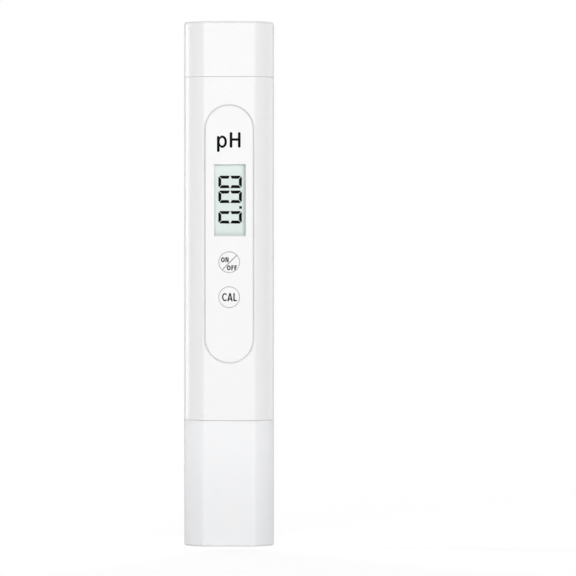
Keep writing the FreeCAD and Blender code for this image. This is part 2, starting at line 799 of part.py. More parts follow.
def battery_holder():
    """A plug in the top of the shells: flange, waist, neck and the cradle for the cells."""
    flange = prism("holder_flange", "wall + fit_gap", "holder_flange_bottom",
                   "body_top - end_wall - play")
    waist = prism("holder_waist", "passage_inset + fit_gap", "holder_flange_bottom",
                  "body_top + holder_floor")
    neck = prism("holder_neck", "battery_cap_wall + fit_gap", "body_top + play",
                 "body_top + neck_height")
    side = "cell_diameter / 2 + fit_gap + holder_side"
    back = "half_depth - battery_cap_wall - fit_gap"
    tower = box("holder_tower", (minus(side), side), ("0", back),
                ("body_top + play", "holder_roof_top"))
    roof = box("holder_roof_plate", (minus(side), side), ("-cell_diameter / 3", back),
               ("holder_roof_bottom", "holder_roof_top"))
    blank = fuse("holder_blank", [flange, waist, neck, common("holder_frame",
                 fuse("holder_frame_blank", [tower, roof]),
                 prism("holder_envelope", "battery_cap_wall + fit_gap", "body_top",
                       "total_length"))])
    well = cylinder("cell_well", "cell_diameter + 2 * fit_gap", "holder_floor_top",
                    "holder_roof_bottom", ALONG_Z)
    half = "cell_diameter / 2 + fit_gap"
    mouth = box("cell_mouth", (minus(half), half), (minus("half_depth"), "0"),
                ("holder_floor_top", "holder_roof_bottom"))
    strip = middle_box("contact_slot", "contact_offset", "contact_width + 2 * fit_gap",
                       ("cell_diameter / 4", "contact_back + fit_gap"),
                       (f"holder_flange_bottom - {OVERRUN}", "holder_roof_bottom"))
    hole = cylinder("lead_hole", "lead_diameter + 2 * fit_gap",
                    f"holder_flange_bottom - {OVERRUN}", f"holder_floor_top + {OVERRUN}",
                    ALONG_Z, x="-contact_offset", y="lead_stand_off")
    groove = seal_groove("holder_groove", "battery_cap_wall", "body_top + seal_drop",
                         "body_top + seal_drop + seal_height")
    return sub_part(cut("battery_holder", blank, [well, mouth, strip, hole, groove]),
                    "battery_holder")


def battery_cells():
    """Two stacked button cells, each a can with the narrower face of its lid below."""
    for index, name in enumerate(("lower", "upper")):
        bottom = f"(cells_bottom + {index} * cell_height)"
        radius = "cell_diameter / 2"
        lid = f"({radius} - cell_rim_width)"
        step = f"{bottom} + cell_rim_height"
        top = f"{bottom} + cell_height"
        body = new_body(f"battery_cell_{name}")
        revolve(body, f"cell_{name}", [("0", bottom), (lid, bottom), (lid, step),
                                       (radius, step), (radius, top), ("0", top)])
        sub_part(body, f"battery_cell_{name}")


def battery_contacts():
    """A bowed leaf spring under the cells, and a strip over them down the cradle's back."""
    reach = "spring_reach"
    base = box("spring_base", (minus(reach), reach), (minus(reach), reach),
               ("holder_floor_top", "holder_floor_top + contact_thickness"))
    width = (minus("contact_width"), "contact_width")
    bows = [cylinder(f"spring_bow_{side}", f"2 * (spring_curve - {inset})", *width, ALONG_Y,
                     z="cells_bottom - spring_curve")
            for side, inset in (("outside", "0"), ("inside", "contact_thickness"))]
    clear = box("spring_clear", (minus(reach), reach), width,
                ("holder_floor_top + contact_thickness / 2", "cells_bottom"))
    bow = common("spring_bow", cut("spring_arch", bows[0], [bows[1]]), clear)
    sub_part(fuse("battery_spring", [base, bow]), "battery_spring")
    plate = middle_box("contact_plate", "contact_offset", "2 * contact_width",
                       ("-cell_diameter / 4", "cell_diameter / 4"),
                       ("cells_top", "holder_roof_bottom"))
    bridge = middle_box("contact_bridge", "contact_offset", "contact_width",
                        ("0", "contact_back"), ("cells_top", "holder_roof_bottom"))
    tail = middle_box("contact_strip", "contact_offset", "contact_width",
                      ("contact_back - contact_thickness", "contact_back"),
                      ("holder_flange_bottom - contact_tail", "holder_roof_bottom"))
    sub_part(fuse("battery_contact", [plate, bridge, tail]), "battery_contact")


# ---------------------------------------------------------------- probe

def probe_collar():
    """A plug in the foot of the shells, with the neck that the probe cap pushes onto."""
    neck = prism("collar_neck", "probe_cap_wall + fit_gap", "collar_bottom",
                 "body_bottom - play")
    waist = prism("collar_waist", "passage_inset + fit_gap", "collar_bottom",
                  "collar_top")
    flange = prism("collar_flange", "wall + fit_gap", "body_bottom + end_wall + play",
                   "collar_top")
    bore = cylinder("collar_bore", "electrode_diameter + 2 * play",
                    f"collar_bottom - {OVERRUN}", f"collar_top + {OVERRUN}", ALONG_Z)
    gland = cylinder("collar_gland", "electrode_diameter + 2 * ring_section",
                     "ring_height - ring_section / 2 - play",
                     "ring_height + ring_section / 2 + play", ALONG_Z)
    groove = seal_groove("collar_groove", "probe_cap_wall",
                         "body_bottom - seal_drop - seal_height", "body_bottom - seal_drop")
    blank = fuse("collar_blank", [neck, waist, flange])
    return sub_part(cut("probe_collar", blank, [bore, gland, groove]), "probe_collar")


def electrode_ring():
    """The O-ring between the collar and the electrode."""
    ring = doc.addObject("Part::Torus", "electrode_ring")
    bind(ring, "Radius1", "(electrode_diameter + ring_section) / 2")
    bind(ring, "Radius2", "ring_section / 2 - play / 2")
    bind(ring, "Placement.Base.z", "ring_height")
    return sub_part(ring, "electrode_ring")


def electrode():
    """The electrode's tube and the plugs that close it."""
    outside = "electrode_diameter / 2"
    bore = "electrode_bore / 2"
    tube = new_body("electrode_tube")
    revolve(tube, "tube", [(bore, "electrode_bottom"), (outside, "electrode_bottom"),
                           (outside, "electrode_top"), (bore, "electrode_top")])
    sub_part(tube, "electrode_tube")
    stem_hole = "stem_diameter / 2 + play"
    fit = f"{bore} - play"
    lower = new_body("lower_plug_ring")
    revolve(lower, "lower_plug", [
        (stem_hole, "electrode_bottom"), (fit, "electrode_bottom"),
        (fit, "electrode_bottom + plug_depth"), (stem_hole, "electrode_bottom + plug_depth")])
    pore = cylinder("junction_hole", "junction_diameter + 2 * play",
                    f"electrode_bottom - {OVERRUN}", f"electrode_bottom + plug_depth + {OVERRUN}",
                    ALONG_Z, y="-annulus_middle")
    sub_part(cut("electrode_end_plug", lower, [pore]), "electrode_end_plug")
    upper = new_body("upper_plug_blank")
    seat = "electrode_top + play"
    revolve(upper, "upper_plug", [
        ("0", "electrode_top - plug_depth"), (fit, "electrode_top - plug_depth"), (fit, seat),
        (outside, seat), (outside, "plug_top"), ("0", "plug_top")])
    socket = cylinder("stem_socket", "stem_diameter + 2 * play", "electrode_bottom",
                      "electrode_top - play", ALONG_Z)
    holes = [cylinder(f"wire_hole_{number}", "silver_wire + 2 * play", "electrode_bottom",
                      f"plug_top + {OVERRUN}", ALONG_Z, y=y)
             for number, y in enumerate(("0", "annulus_middle"))]
    sub_part(cut("electrode_top_plug", upper, [socket] + holes), "electrode_top_plug")
    junction = cylinder("reference_junction", "junction_diameter", "electrode_bottom",
                        "electrode_bottom + plug_depth", ALONG_Z, y="-annulus_middle")
    sub_part(junction, "reference_junction")


def glass_bulb():
    """The hollow pH-sensitive bulb, blown on the end of its glass stem."""
    def blown(name, shrink, top, shrink_stem):
        ball = doc.addObject("Part::Sphere", name + "_ball")
        bind(ball, "Radius", f"bulb_diameter / 2 - ({shrink})")
        bind(ball, "Placement.Base.z", "bulb_height")
        stem = cylinder(name + "_stem", f"stem_diameter - 2 * ({shrink_stem})", "bulb_height",
                        top, ALONG_Z)
        return fuse(name, [ball, stem])

    outside = blown("glass_outside", "0", "electrode_top - 2 * play", "0")
    inside = blown("glass_inside", "bulb_wall", f"electrode_top + {OVERRUN}", "stem_wall")
    return sub_part(cut("glass_bulb", outside, [inside]), "glass_bulb")


def silver_wires():
    """The coated wires that pick up the bulb's and the reference chamber's potential."""
    sub_part(cylinder("sensing_wire", "silver_wire", "bulb_height", "wire_top", ALONG_Z),
             "sensing_wire")
    sub_part(cylinder("reference_wire", "silver_wire", "reference_start", "wire_top", ALONG_Z,
                      y="annulus_middle"), "reference_wire")


def probe_guard():
    """The cage pushed over the electrode's end, with four windows round the bulb."""
    outside = "guard_outside / 2"
    inside = "electrode_bore / 2 + play"
    grip = "electrode_diameter / 2 + play"
    shoulder = "electrode_bottom - play"
    blank = new_body("guard_blank")
    revolve(blank, "guard", [
        (inside, "guard_bottom"), (outside, "guard_bottom"),
        (outside, "electrode_bottom + guard_grip"), (grip, "electrode_bottom + guard_grip"),
        (grip, shoulder), (inside, shoulder)])
    windows = []
    half = "guard_window / 2"
    z = ("guard_bottom + guard_ring", "electrode_bottom - guard_ring")
    windows.append(box("guard_window_x", (minus("guard_outside"), "guard_outside"),
                       (minus(half), half), z))
    windows.append(box("guard_window_y", (minus(half), half),
                       (minus("guard_outside"), "guard_outside"), z))
    return sub_part(cut("probe_guard", blank, windows), "probe_guard")


# ---------------------------------------------------------------- leads

def lead_solid(points, diameter, bend_share):
    """A round lead along straight runs joined by tangent arcs."""
    edges = []
    start = points[0]
    for before, corner, after in zip(points, points[1:], points[2:]):
        back = before - corner
        ahead = after - corner
        reach = bend_share * min(back.Length, ahead.Length)
        back.normalize()
        ahead.normalize()
        half_angle = back.getAngle(ahead) / 2
        radius = reach * math.tan(half_angle)
        inward = back + ahead
        inward.normalize()
        middle = corner + inward * (math.hypot(reach, radius) - radius)
        entry = corner + back * reach
        leave = corner + ahead * reach
        edges.append(Part.LineSegment(start, entry).toShape())
        edges.append(Part.Arc(entry, middle, leave).toShape())
        start = leave
    edges.append(Part.LineSegment(start, points[-1]).toShape())
    path = Part.Wire(edges)
    section = Part.Wire(Part.makeCircle(diameter / 2, points[0], points[1] - points[0]))
    return path.makePipeShell([section], True, True)


def lead_pair(name, routes):
    """Two insulated leads that share one node; a route is a list of points of formulas."""
    solids = []
    for route in routes:
        points = [Vector(*(size(place) for place in point)) for point in route]
        solids.append(lead_solid(points, size("lead_diameter"), size("lead_bend_share")))
    piece = doc.addObject("Part::Feature", name)
    piece.Shape = Part.makeCompound(solids)
    piece.Placement = Placement()
    return sub_part(piece, name)


def leads():
    """Leads from the silver wires to the board, and from the cells to the board."""
    board = "-board_back"
    side = "contact_offset"
    low_pad = "board_bottom + board_screw_inset"
    rise = "wire_top + board_screw_inset"
    reference = "annulus_middle"
    lead_pair("sensor_leads", [
        [("0", "0", "wire_top"), ("0", "0", rise), (side, "lead_stand_off", low_pad),
         (side, board, low_pad)],
        [("0", reference, "wire_top"), ("0", reference, rise),
         (minus(side), reference, low_pad), (minus(side), board, low_pad)],
    ])
    lead_pair("battery_leads", [
        [(minus(side), "lead_stand_off", "holder_floor_top"),
         (minus(side), "lead_stand_off", "high_pad"), (minus(side), board, "high_pad")],
        [(side, "strip_middle", "holder_flange_bottom - contact_tail"),
         (side, "strip_middle", "high_pad"), (side, board, "high_pad")],
    ])


# ---------------------------------------------------------------- assembly

def build():
    fill_sheet()
    tube = shell_tube()
    front_shell(tube)
    rear_shell(tube)
    battery_cap()
    probe_cap()
    soaking_sponge()
    front_panel()
    display()
    for name in ("power", "calibration"):
        key(name)
        tactile_switch(name)
    main_board()
    board_components()
    screws()
    battery_holder()
    seal_ring("battery_cap_seal", "battery_cap_wall", "body_top + seal_drop + play",
              "body_top + seal_drop + seal_height - play")
    battery_cells()
    battery_contacts()
    probe_collar()
    seal_ring("probe_cap_seal", "probe_cap_wall", "body_bottom - seal_drop - seal_height + play",
              "body_bottom - seal_drop - play")
    electrode_ring()
    electrode()
    glass_bulb()
    silver_wires()
    probe_guard()
    leads()
    doc.recompute()


def check():
    """Stop if any object failed, or a sub-part has no sound solid."""
    for item in doc.Objects:
        if "Invalid" in item.State or "Error" in item.State:
            raise RuntimeError(f"{item.Name} failed: {item.State}")
    for piece in sub_parts:
        if piece.Shape.isNull() or not piece.Shape.isValid() or not piece.Shape.Solids:
            raise RuntimeError(f"{piece.Label} has no sound solid")


def write():
    os.makedirs("parts", exist_ok=True)
    for piece in sub_parts:
        piece.Shape.exportStep(f"parts/{piece.Label}.step")
        print(f"{piece.Label}: {len(piece.Shape.Solids)} solids, {piece.Shape.Volume:.2f} mm3")


build()
check()
write()
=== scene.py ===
import math

import bmesh
import bpy
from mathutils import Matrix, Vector


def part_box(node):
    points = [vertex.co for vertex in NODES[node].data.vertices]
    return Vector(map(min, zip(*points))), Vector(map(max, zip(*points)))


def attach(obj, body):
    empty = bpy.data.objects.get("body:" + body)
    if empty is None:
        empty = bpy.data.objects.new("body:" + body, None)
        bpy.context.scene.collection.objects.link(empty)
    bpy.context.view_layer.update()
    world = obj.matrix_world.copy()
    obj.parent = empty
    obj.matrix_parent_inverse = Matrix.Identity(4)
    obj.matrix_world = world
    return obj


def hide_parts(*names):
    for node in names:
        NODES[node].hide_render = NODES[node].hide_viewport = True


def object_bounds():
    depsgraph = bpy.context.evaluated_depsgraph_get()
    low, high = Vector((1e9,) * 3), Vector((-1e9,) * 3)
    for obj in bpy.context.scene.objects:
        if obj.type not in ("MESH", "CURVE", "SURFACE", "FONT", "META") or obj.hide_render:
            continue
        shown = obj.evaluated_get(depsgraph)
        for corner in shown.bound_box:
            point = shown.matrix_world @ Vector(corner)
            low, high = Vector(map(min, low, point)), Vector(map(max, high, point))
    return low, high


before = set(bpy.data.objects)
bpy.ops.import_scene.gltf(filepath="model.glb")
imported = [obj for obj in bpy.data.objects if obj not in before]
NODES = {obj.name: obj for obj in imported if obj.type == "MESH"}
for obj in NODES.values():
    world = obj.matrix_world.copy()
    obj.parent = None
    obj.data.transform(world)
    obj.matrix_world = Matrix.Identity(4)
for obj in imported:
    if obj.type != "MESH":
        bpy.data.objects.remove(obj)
cad_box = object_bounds()

MM = 0.001
BLACK = (0, 0, 0, 1)
PLAIN_WHITE = (1, 1, 1, 1)
BODY = "meter_body"

# Where the printed and displayed marks lie, worked out from the CAD pieces.
PANEL_LOW, PANEL_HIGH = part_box("front_panel")
FILM_LOW, FILM_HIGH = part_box("lcd_front_polarizer")
PANEL_FACE = PANEL_LOW.y
FILM_FACE = FILM_LOW.y
FILM_MIDDLE = (FILM_LOW + FILM_HIGH) / 2
FILM_MARGIN = 0.6 * MM
VIEW_LOW = FILM_LOW + Vector((FILM_MARGIN, 0, FILM_MARGIN))
VIEW_HIGH = FILM_HIGH - Vector((FILM_MARGIN, 0, FILM_MARGIN))
CAP_LOW, CAP_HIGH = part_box("probe_cap")


# ---------------------------------------------------------------- node materials

def socket(value, target):
    """Set or link one shader input."""
    if hasattr(value, "is_output"):
        target.id_data.links.new(value, target)
    else:
        target.default_value = value


def set_inputs(made, values):
    """Set or link several inputs of a node, by name or number."""
    for name, value in values.items():
        socket(value, made.inputs[name])


def node(tree, kind, inputs=None, **settings):
    """Add a shader node, with its settings and its inputs."""
    made = tree.nodes.new(kind)
    for name, value in settings.items():
        setattr(made, name, value)
    set_inputs(made, inputs or {})
    return made


def blank_material(name):
    """A material with a Principled shader and object coordinates: (material, tree, shader, place)."""
    material = bpy.data.materials.new(name)
    material.use_nodes = True
    tree = material.node_tree
    shader = tree.nodes["Principled BSDF"]
    place = node(tree, "ShaderNodeTexCoord").outputs["Object"]
    return material, tree, shader, place


def noise(tree, place, size, detail=4.0, rough=0.55):
    """A noise value whose features are about size metres across."""
    made = node(tree, "ShaderNodeTexNoise",
                {"Vector": place, "Scale": 1 / size, "Detail": detail, "Roughness": rough})
    return made.outputs["Fac"]


def between(tree, factor, low, high):
    """Spread a 0 to 1 value over a range."""
    made = node(tree, "ShaderNodeMapRange",
                {"Value": factor, "From Min": 0.2, "From Max": 0.8, "To Min": low, "To Max": high})
    return made.outputs["Result"]


def blended(tree, factor, first, second):
    """A colour between two colours."""
    made = node(tree, "ShaderNodeMix", {"Factor": factor, "A": first, "B": second},
                data_type="RGBA")
    return made.outputs["Result"]


def varied(tree, factor, colour, gain):
    """A colour that drifts from a lighter or darker tint of itself to itself."""
    return blended(tree, between(tree, factor, 0.0, 1.0), rgba(tinted(colour, gain)), rgba(colour))


def ramp(tree, value, start, end):
    """0 at the start, 1 at the end, smooth between."""
    made = node(tree, "ShaderNodeMapRange",
                {"Value": value, "From Min": start, "From Max": end, "To Min": 0.0, "To Max": 1.0},
                interpolation_type="SMOOTHSTEP")
    return made.outputs["Result"]


def maths(tree, operation, first, second):
    """One sum, product or comparison of two values."""
    return node(tree, "ShaderNodeMath", {0: first, 1: second}, operation=operation).outputs[0]


def bumped(tree, height, strength, depth):
    """A bump of a depth in metres."""
    made = node(tree, "ShaderNodeBump",
                {"Height": height, "Strength": strength, "Distance": depth})
    return made.outputs["Normal"]


def rgba(colour):
    """A colour with full alpha."""
    return (*colour, 1.0)


def tinted(colour, gain):
    """A colour made lighter or darker."""
    return tuple(min(1.0, part * gain) for part in colour)


def moulded(name, colour, roughness, mottle=0.02, spread=0.04, grain=0.15 * MM,
            depth=0.003 * MM, coat=0.0):
    """A moulded surface: flow clouding in its colour, uneven gloss and a spark-eroded grain."""
    material, tree, shader, place = blank_material(name)
    cloud = noise(tree, place, 11 * MM, detail=2.0, rough=0.4)
    fine = noise(tree, place, grain, detail=3.0)
    tone = varied(tree, cloud, colour, 1 - mottle)
    speck = between(tree, fine, 0.0, 1.0)
    tone = blended(tree, speck, blended(tree, 0.02, tone, BLACK), tone)
    set_inputs(shader, {
        "Base Color": tone,
        "Roughness": between(tree, fine, roughness - spread, roughness + spread),
        "Normal": bumped(tree, fine, 0.5, depth),
        "Coat Weight": coat,
        "Coat Roughness": 0.12})
    return material


def frosted(name, colour, low, high):
    """Frosted polypropylene: a little blue, light spreads inside it, with painted shade darkening it
    towards its base.
    """
    material, tree, shader, place = blank_material(name)
    cloud = noise(tree, place, 16 * MM, detail=2.0, rough=0.4)
    frost = noise(tree, place, 0.25 * MM, detail=5.0, rough=0.7)
    tone = varied(tree, cloud, colour, 0.99)
    level = node(tree, "ShaderNodeSeparateXYZ", {"Vector": place}).outputs["Z"]
    # Painted shade: the colour darkens towards the cap's base.
    tone = blended(tree, ramp(tree, level, high, low), tone, rgba(tinted(colour, 0.92)))
    set_inputs(shader, {
        "Base Color": tone,
        "Roughness": between(tree, frost, 0.34, 0.46),
        "Normal": bumped(tree, frost, 0.35, 0.005 * MM),
        "Subsurface Weight": 0.5,
        "Subsurface Scale": 1.2 * MM,
        "Subsurface Radius": (0.9, 1.0, 1.15),
        "IOR": 1.49})
    return material


def glassy(name, colour, roughness=0.02):
    """Clear glass with faint drawing lines."""
    material, tree, shader, place = blank_material(name)
    streak = node(tree, "ShaderNodeMapping", {"Vector": place, "Scale": (1.0, 1.0, 0.08)})
    lines = noise(tree, streak.outputs["Vector"], 0.8 * MM, detail=2.0)
    set_inputs(shader, {
        "Base Color": varied(tree, lines, colour, 0.97),
        "Roughness": between(tree, lines, roughness, roughness + 0.03),
        "Normal": bumped(tree, lines, 0.2, 0.003 * MM),
        "Transmission Weight": 1.0,
        "IOR": 1.5})
    return material


def striped(name):
    """Contact rubber: fine carbon layers across pale silicone."""
    material, tree, shader, place = blank_material(name)
    layers = node(tree, "ShaderNodeTexWave",
                  {"Vector": place, "Scale": 1 / (0.9 * MM), "Distortion": 0.4},
                  bands_direction="Z")
    pores = noise(tree, place, 0.1 * MM, detail=3.0)
    carbon = (0.02, 0.02, 0.022, 1)
    silicone = (0.34, 0.33, 0.32, 1)
    set_inputs(shader, {
        "Base Color": blended(tree, layers.outputs["Fac"], carbon, silicone),
        "Roughness": between(tree, pores, 0.5, 0.7),
        "Normal": bumped(tree, pores, 0.4, 0.004 * MM)})
    return material


def display_film(name, colour):
    """The display's face: a pale green-grey film, with painted shade darkening it along its right and
    lower edges.
    """
    material, tree, shader, place = blank_material(name)
    cloud = noise(tree, place, 5 * MM, detail=2.0)
    tooth = noise(tree, place, 0.12 * MM, detail=2.0)
    tone = varied(tree, cloud, colour, 0.97)
    along = node(tree, "ShaderNodeSeparateXYZ", {"Vector": place}).outputs
    right = VIEW_HIGH.x
    low = VIEW_LOW.z
    # Painted shade: the film's colour is darkened along the right and lower edges of the window.
    side = ramp(tree, along["X"], right - 1.3 * MM, right - 0.4 * MM)
    foot = ramp(tree, along["Z"], low + 1.9 * MM, low + 0.2 * MM)
    painted_edge_shade = maths(tree, "MAXIMUM", side, foot)
    tone = blended(tree, painted_edge_shade, tone, rgba(tinted(colour, 0.81)))
    set_inputs(shader, {
        "Base Color": tone,
        "Roughness": between(tree, tooth, 0.30, 0.40),
        "Normal": bumped(tree, tooth, 0.3, 0.002 * MM)})
    return material


def ink(name, colour):
    """Printing ink, with a slight tooth and little gloss."""
    material, tree, shader, place = blank_material(name)
    tooth = noise(tree, place, 0.15 * MM, detail=4.0)
    worn = rgba(tinted(colour, 1.4))
    set_inputs(shader, {
        "Base Color": blended(tree, between(tree, tooth, 0.0, 1.0), rgba(colour), worn),
        "Roughness": between(tree, tooth, 0.40, 0.60),
        "Normal": bumped(tree, tooth, 0.4, 0.004 * MM),
        "Specular IOR Level": 0.06})
    return material


def spun_metal(name, colour, roughness, streak_axis=2):
    """Plated metal with fine parallel scratches and dull patches."""
    material, tree, shader, place = blank_material(name)
    stretch = [1.0, 1.0, 1.0]
    stretch[streak_axis] = 0.05
    drawn = node(tree, "ShaderNodeMapping", {"Vector": place, "Scale": tuple(stretch)})
    scratch = noise(tree, drawn.outputs["Vector"], 0.12 * MM, detail=4.0)
    patch = noise(tree, place, 2.5 * MM, detail=5.0)
    set_inputs(shader, {
        "Base Color": varied(tree, patch, colour, 0.86),
        "Roughness": between(tree, scratch, roughness - 0.08, roughness + 0.08),
        "Normal": bumped(tree, scratch, 0.35, 0.003 * MM),
        "Metallic": 1.0})
    return material


def board_material(name):
    """Green solder mask, paler and raised over the copper tracks."""
    material, tree, shader, place = blank_material(name)
    upright = node(tree, "ShaderNodeMapping",
                   {"Vector": place, "Rotation": (math.radians(90), 0, 0)}).outputs["Vector"]
    tracks = node(tree, "ShaderNodeTexBrick",
                  {"Vector": upright, "Scale": 1 / (3.2 * MM), "Mortar Size": 0.035,
                   "Brick Width": 0.9, "Row Height": 0.35, "Color1": BLACK, "Color2": BLACK,
                   "Mortar": PLAIN_WHITE}).outputs["Color"]
    weave = noise(tree, place, 0.4 * MM, detail=3.0)
    mask = blended(tree, between(tree, weave, 0.0, 1.0), (0.012, 0.10, 0.035, 1),
                   (0.018, 0.13, 0.045, 1))
    over_copper = (0.05, 0.24, 0.08, 1)
    set_inputs(shader, {
        "Base Color": blended(tree, tracks, mask, over_copper),
        "Roughness": between(tree, weave, 0.25, 0.38),
        "Normal": bumped(tree, tracks, 0.6, 0.02 * MM)})
    return material


def foam(name, colour):
    """Open-cell foam: pale webs, with painted shade darkening the pores between them."""
    material, tree, shader, place = blank_material(name)
    cells = node(tree, "ShaderNodeTexVoronoi", {"Vector": place, "Scale": 1 / (0.55 * MM)})
    pore = cells.outputs["Distance"]
    # Painted shade: the sunken pores are darkened in the colour.
    set_inputs(shader, {
        "Base Color": varied(tree, pore, colour, 0.72),
        "Roughness": between(tree, pore, 0.85, 0.95),
        "Normal": bumped(tree, pore, 0.8, 0.12 * MM),
        "Subsurface Weight": 0.2,
        "Subsurface Scale": 1.0 * MM})
    return material


WHITE = (0.86, 0.86, 0.865)
MATERIALS = {
    "casing": moulded("white_casing", WHITE, 0.27, mottle=0.003, coat=0.25),
    "panel": moulded("white_panel", (0.87, 0.87, 0.875), 0.36, mottle=0.003, grain=0.1 * MM),
    "key": moulded("white_key", (0.865, 0.865, 0.87), 0.40, mottle=0.004, grain=0.12 * MM),
    "frosted": frosted("frosted_cap", (0.885, 0.89, 0.905), CAP_LOW.z, CAP_HIGH.z),
    "sponge": foam("sponge_foam", (0.80, 0.76, 0.60)),
    "film": display_film("display_film", (0.69, 0.76, 0.735)),
    "glass": glassy("display_glass", (0.93, 0.97, 0.95)),
    "zebra": striped("contact_rubber"),
    "inner": moulded("inner_plastic", (0.70, 0.70, 0.68), 0.45, mottle=0.03, grain=0.3 * MM,
                     depth=0.01 * MM),
    "nylon": moulded("switch_nylon", (0.018, 0.018, 0.02), 0.5, mottle=0.3, grain=0.3 * MM),
    "plunger": moulded("switch_plunger", (0.62, 0.52, 0.36), 0.4, mottle=0.05),
    "board": board_material("circuit_board"),
    "resin": moulded("chip_resin", (0.02, 0.02, 0.022), 0.55, mottle=0.3, grain=0.15 * MM,
                     depth=0.008 * MM),
    "ceramic": moulded("chip_ceramic", (0.42, 0.28, 0.15), 0.5, mottle=0.1),
    "nickel": spun_metal("nickel_plate", (0.72, 0.70, 0.66), 0.25),
    "cell": spun_metal("cell_steel", (0.70, 0.70, 0.69), 0.22, streak_axis=0),
    "screw": spun_metal("screw_steel", (0.50, 0.50, 0.51), 0.35, streak_axis=1),
    "seal": moulded("seal_rubber", (0.022, 0.022, 0.024), 0.55, mottle=0.2, grain=0.2 * MM,
                    depth=0.01 * MM),
    "electrode": moulded("electrode_plastic", (0.03, 0.03, 0.034), 0.22, mottle=0.15, coat=0.4),
    "guard": moulded("guard_plastic", (0.74, 0.74, 0.745), 0.33, mottle=0.02, grain=0.4 * MM),
    "bulb": glassy("sensor_glass", (0.90, 0.96, 0.98)),
    "porous": moulded("porous_ceramic", (0.80, 0.78, 0.73), 0.8, mottle=0.08, grain=0.1 * MM,
                      depth=0.03 * MM),
    "silver": spun_metal("silver_wire", (0.62, 0.60, 0.58), 0.35),
    "lead": moulded("lead_insulation", (0.42, 0.015, 0.012), 0.42, mottle=0.1, grain=0.3 * MM),
    # A grey sheet laid in the panel's groove: painted shade.
    "shade_sheet": moulded("painted_groove_shade", (0.78, 0.78, 0.785), 0.6, mottle=0.06, grain=0.12 * MM),
    "ink": ink("panel_ink", (0.003, 0.003, 0.003)),
    "segment": ink("display_segment", (0.0025, 0.0028, 0.003)),
    "grey_ink": ink("grey_ink", (0.24, 0.24, 0.245)),
}

FINISH = {
    "casing": ("front_shell", "rear_shell", "battery_cap"),
    "panel": ("front_panel",),
    "key": ("power_button", "calibration_button"),
    "frosted": ("probe_cap",),
    "film": ("lcd_front_polarizer", "lcd_reflector"),
    "glass": ("lcd_front_glass", "lcd_rear_glass"),
    "zebra": ("zebra_strip_left", "zebra_strip_right"),
    "inner": ("lcd_frame", "battery_holder", "probe_collar"),
    "nylon": ("power_switch_housing", "calibration_switch_housing"),
    "plunger": ("power_switch_plunger", "calibration_switch_plunger"),
    "board": ("main_board",),
    "resin": ("controller_chip", "amplifier_chip", "surface_resistors"),
    "ceramic": ("surface_capacitors",),
    "nickel": ("crystal_can", "battery_contact", "battery_spring"),
    "cell": ("battery_cell_lower", "battery_cell_upper"),
    "screw": ("shell_screws", "board_screws"),
    "seal": ("battery_cap_seal", "probe_cap_seal", "electrode_ring"),
    "electrode": ("electrode_tube", "electrode_end_plug", "electrode_top_plug"),
    "guard": ("probe_guard",),
    "bulb": ("glass_bulb",),
    "porous": ("reference_junction",),
    "silver": ("sensing_wire", "reference_wire"),
    "lead": ("sensor_leads", "battery_leads"),
}


def finish_cad_nodes():
    """Give every CAD node its material, apart from the sponge, which has a piece of its own."""
    for finish, names in FINISH.items():
        for name in names:
            cad = NODES[name]
            cad.data.materials.clear()
            cad.data.materials.append(MATERIALS[finish])


# ---------------------------------------------------------------- printed and displayed marks
# The outlines of the marks are in millimetres about a middle that placed() moves them to.

PRINT = 0.02 * MM


def plates(name, shapes, back, thickness, material, body):
    """Thin plates that face -Y. A shape is an outline and its holes, each of (across, up) points."""
    work = bmesh.new()
    for loops in shapes:
        edges = []
        for loop in loops:
            corners = [work.verts.new((across, back, up)) for across, up in loop]
            for index, corner in enumerate(corners):
                edges.append(work.edges.new((corner, corners[(index + 1) % len(corners)])))
        bmesh.ops.triangle_fill(work, edges=edges, use_beauty=True)
    raised = bmesh.ops.extrude_face_region(work, geom=work.faces[:])
    fronts = [part for part in raised["geom"] if isinstance(part, bmesh.types.BMVert)]
    bmesh.ops.translate(work, verts=fronts, vec=(0, -thickness, 0))
    bmesh.ops.recalc_face_normals(work, faces=work.faces)
    mesh = bpy.data.meshes.new(name)
    work.to_mesh(mesh)
    work.free()
    piece = bpy.data.objects.new(name, mesh)
    bpy.context.scene.collection.objects.link(piece)
    mesh.materials.append(material)
    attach(piece, body)


def placed(shapes, across, up):
    """Shapes in millimetres about a point, moved to it in metres."""
    return [[[(across + x * MM, up + z * MM) for x, z in loop] for loop in loops]
            for loops in shapes]


def arc(centre, radius, start, end, steps):
    """Points of a circular or elliptic arc; radius is one number or a pair."""
    wide, tall = radius if isinstance(radius, tuple) else (radius, radius)
    turns = [math.radians(start + (end - start) * step / steps) for step in range(steps + 1)]
    return [(centre[0] + wide * math.cos(turn), centre[1] + tall * math.sin(turn))
            for turn in turns]


def oval(centre, radius, steps=48):
    """A closed ellipse."""
    return arc(centre, radius, 0, 360 * (steps - 1) / steps, steps - 1)


def ring(left, right, low, high, stroke):
    """A letter O between four sides."""
    centre = ((left + right) / 2, (low + high) / 2)
    wide, tall = (right - left) / 2, (high - low) / 2
    return [oval(centre, (wide, tall)), oval(centre, (wide - stroke, tall - stroke))]


def letter_n(left, right, low, high, stroke):
    """A letter N between four sides."""
    slant = stroke * 1.25
    notch = slant * 1.2
    return [[(left, low), (left + stroke, low), (left + stroke, high - notch),
             (right - slant, low), (right, low), (right, high), (right - stroke, high),
             (right - stroke, low + notch), (left + slant, high), (left, high)]]


def letter_f(left, right, low, high, stroke):
    """A letter F between four sides; its middle bar is a little shorter."""
    middle = low + (high - low) * 0.52
    bar_low, bar_high = middle - stroke / 2, middle + stroke / 2
    bar_end = right - stroke * 0.3
    return [[(left, low), (left + stroke, low), (left + stroke, bar_low), (bar_end, bar_low),
             (bar_end, bar_high), (left + stroke, bar_high), (left + stroke, high - stroke),
             (right, high - stroke), (right, high), (left, high)]]


def letter_l(left, right, low, high, stroke):
    """A letter L between four sides."""
    return [[(left, low), (right, low), (right, low + stroke), (left + stroke, low + stroke),
             (left + stroke, high), (left, high)]]


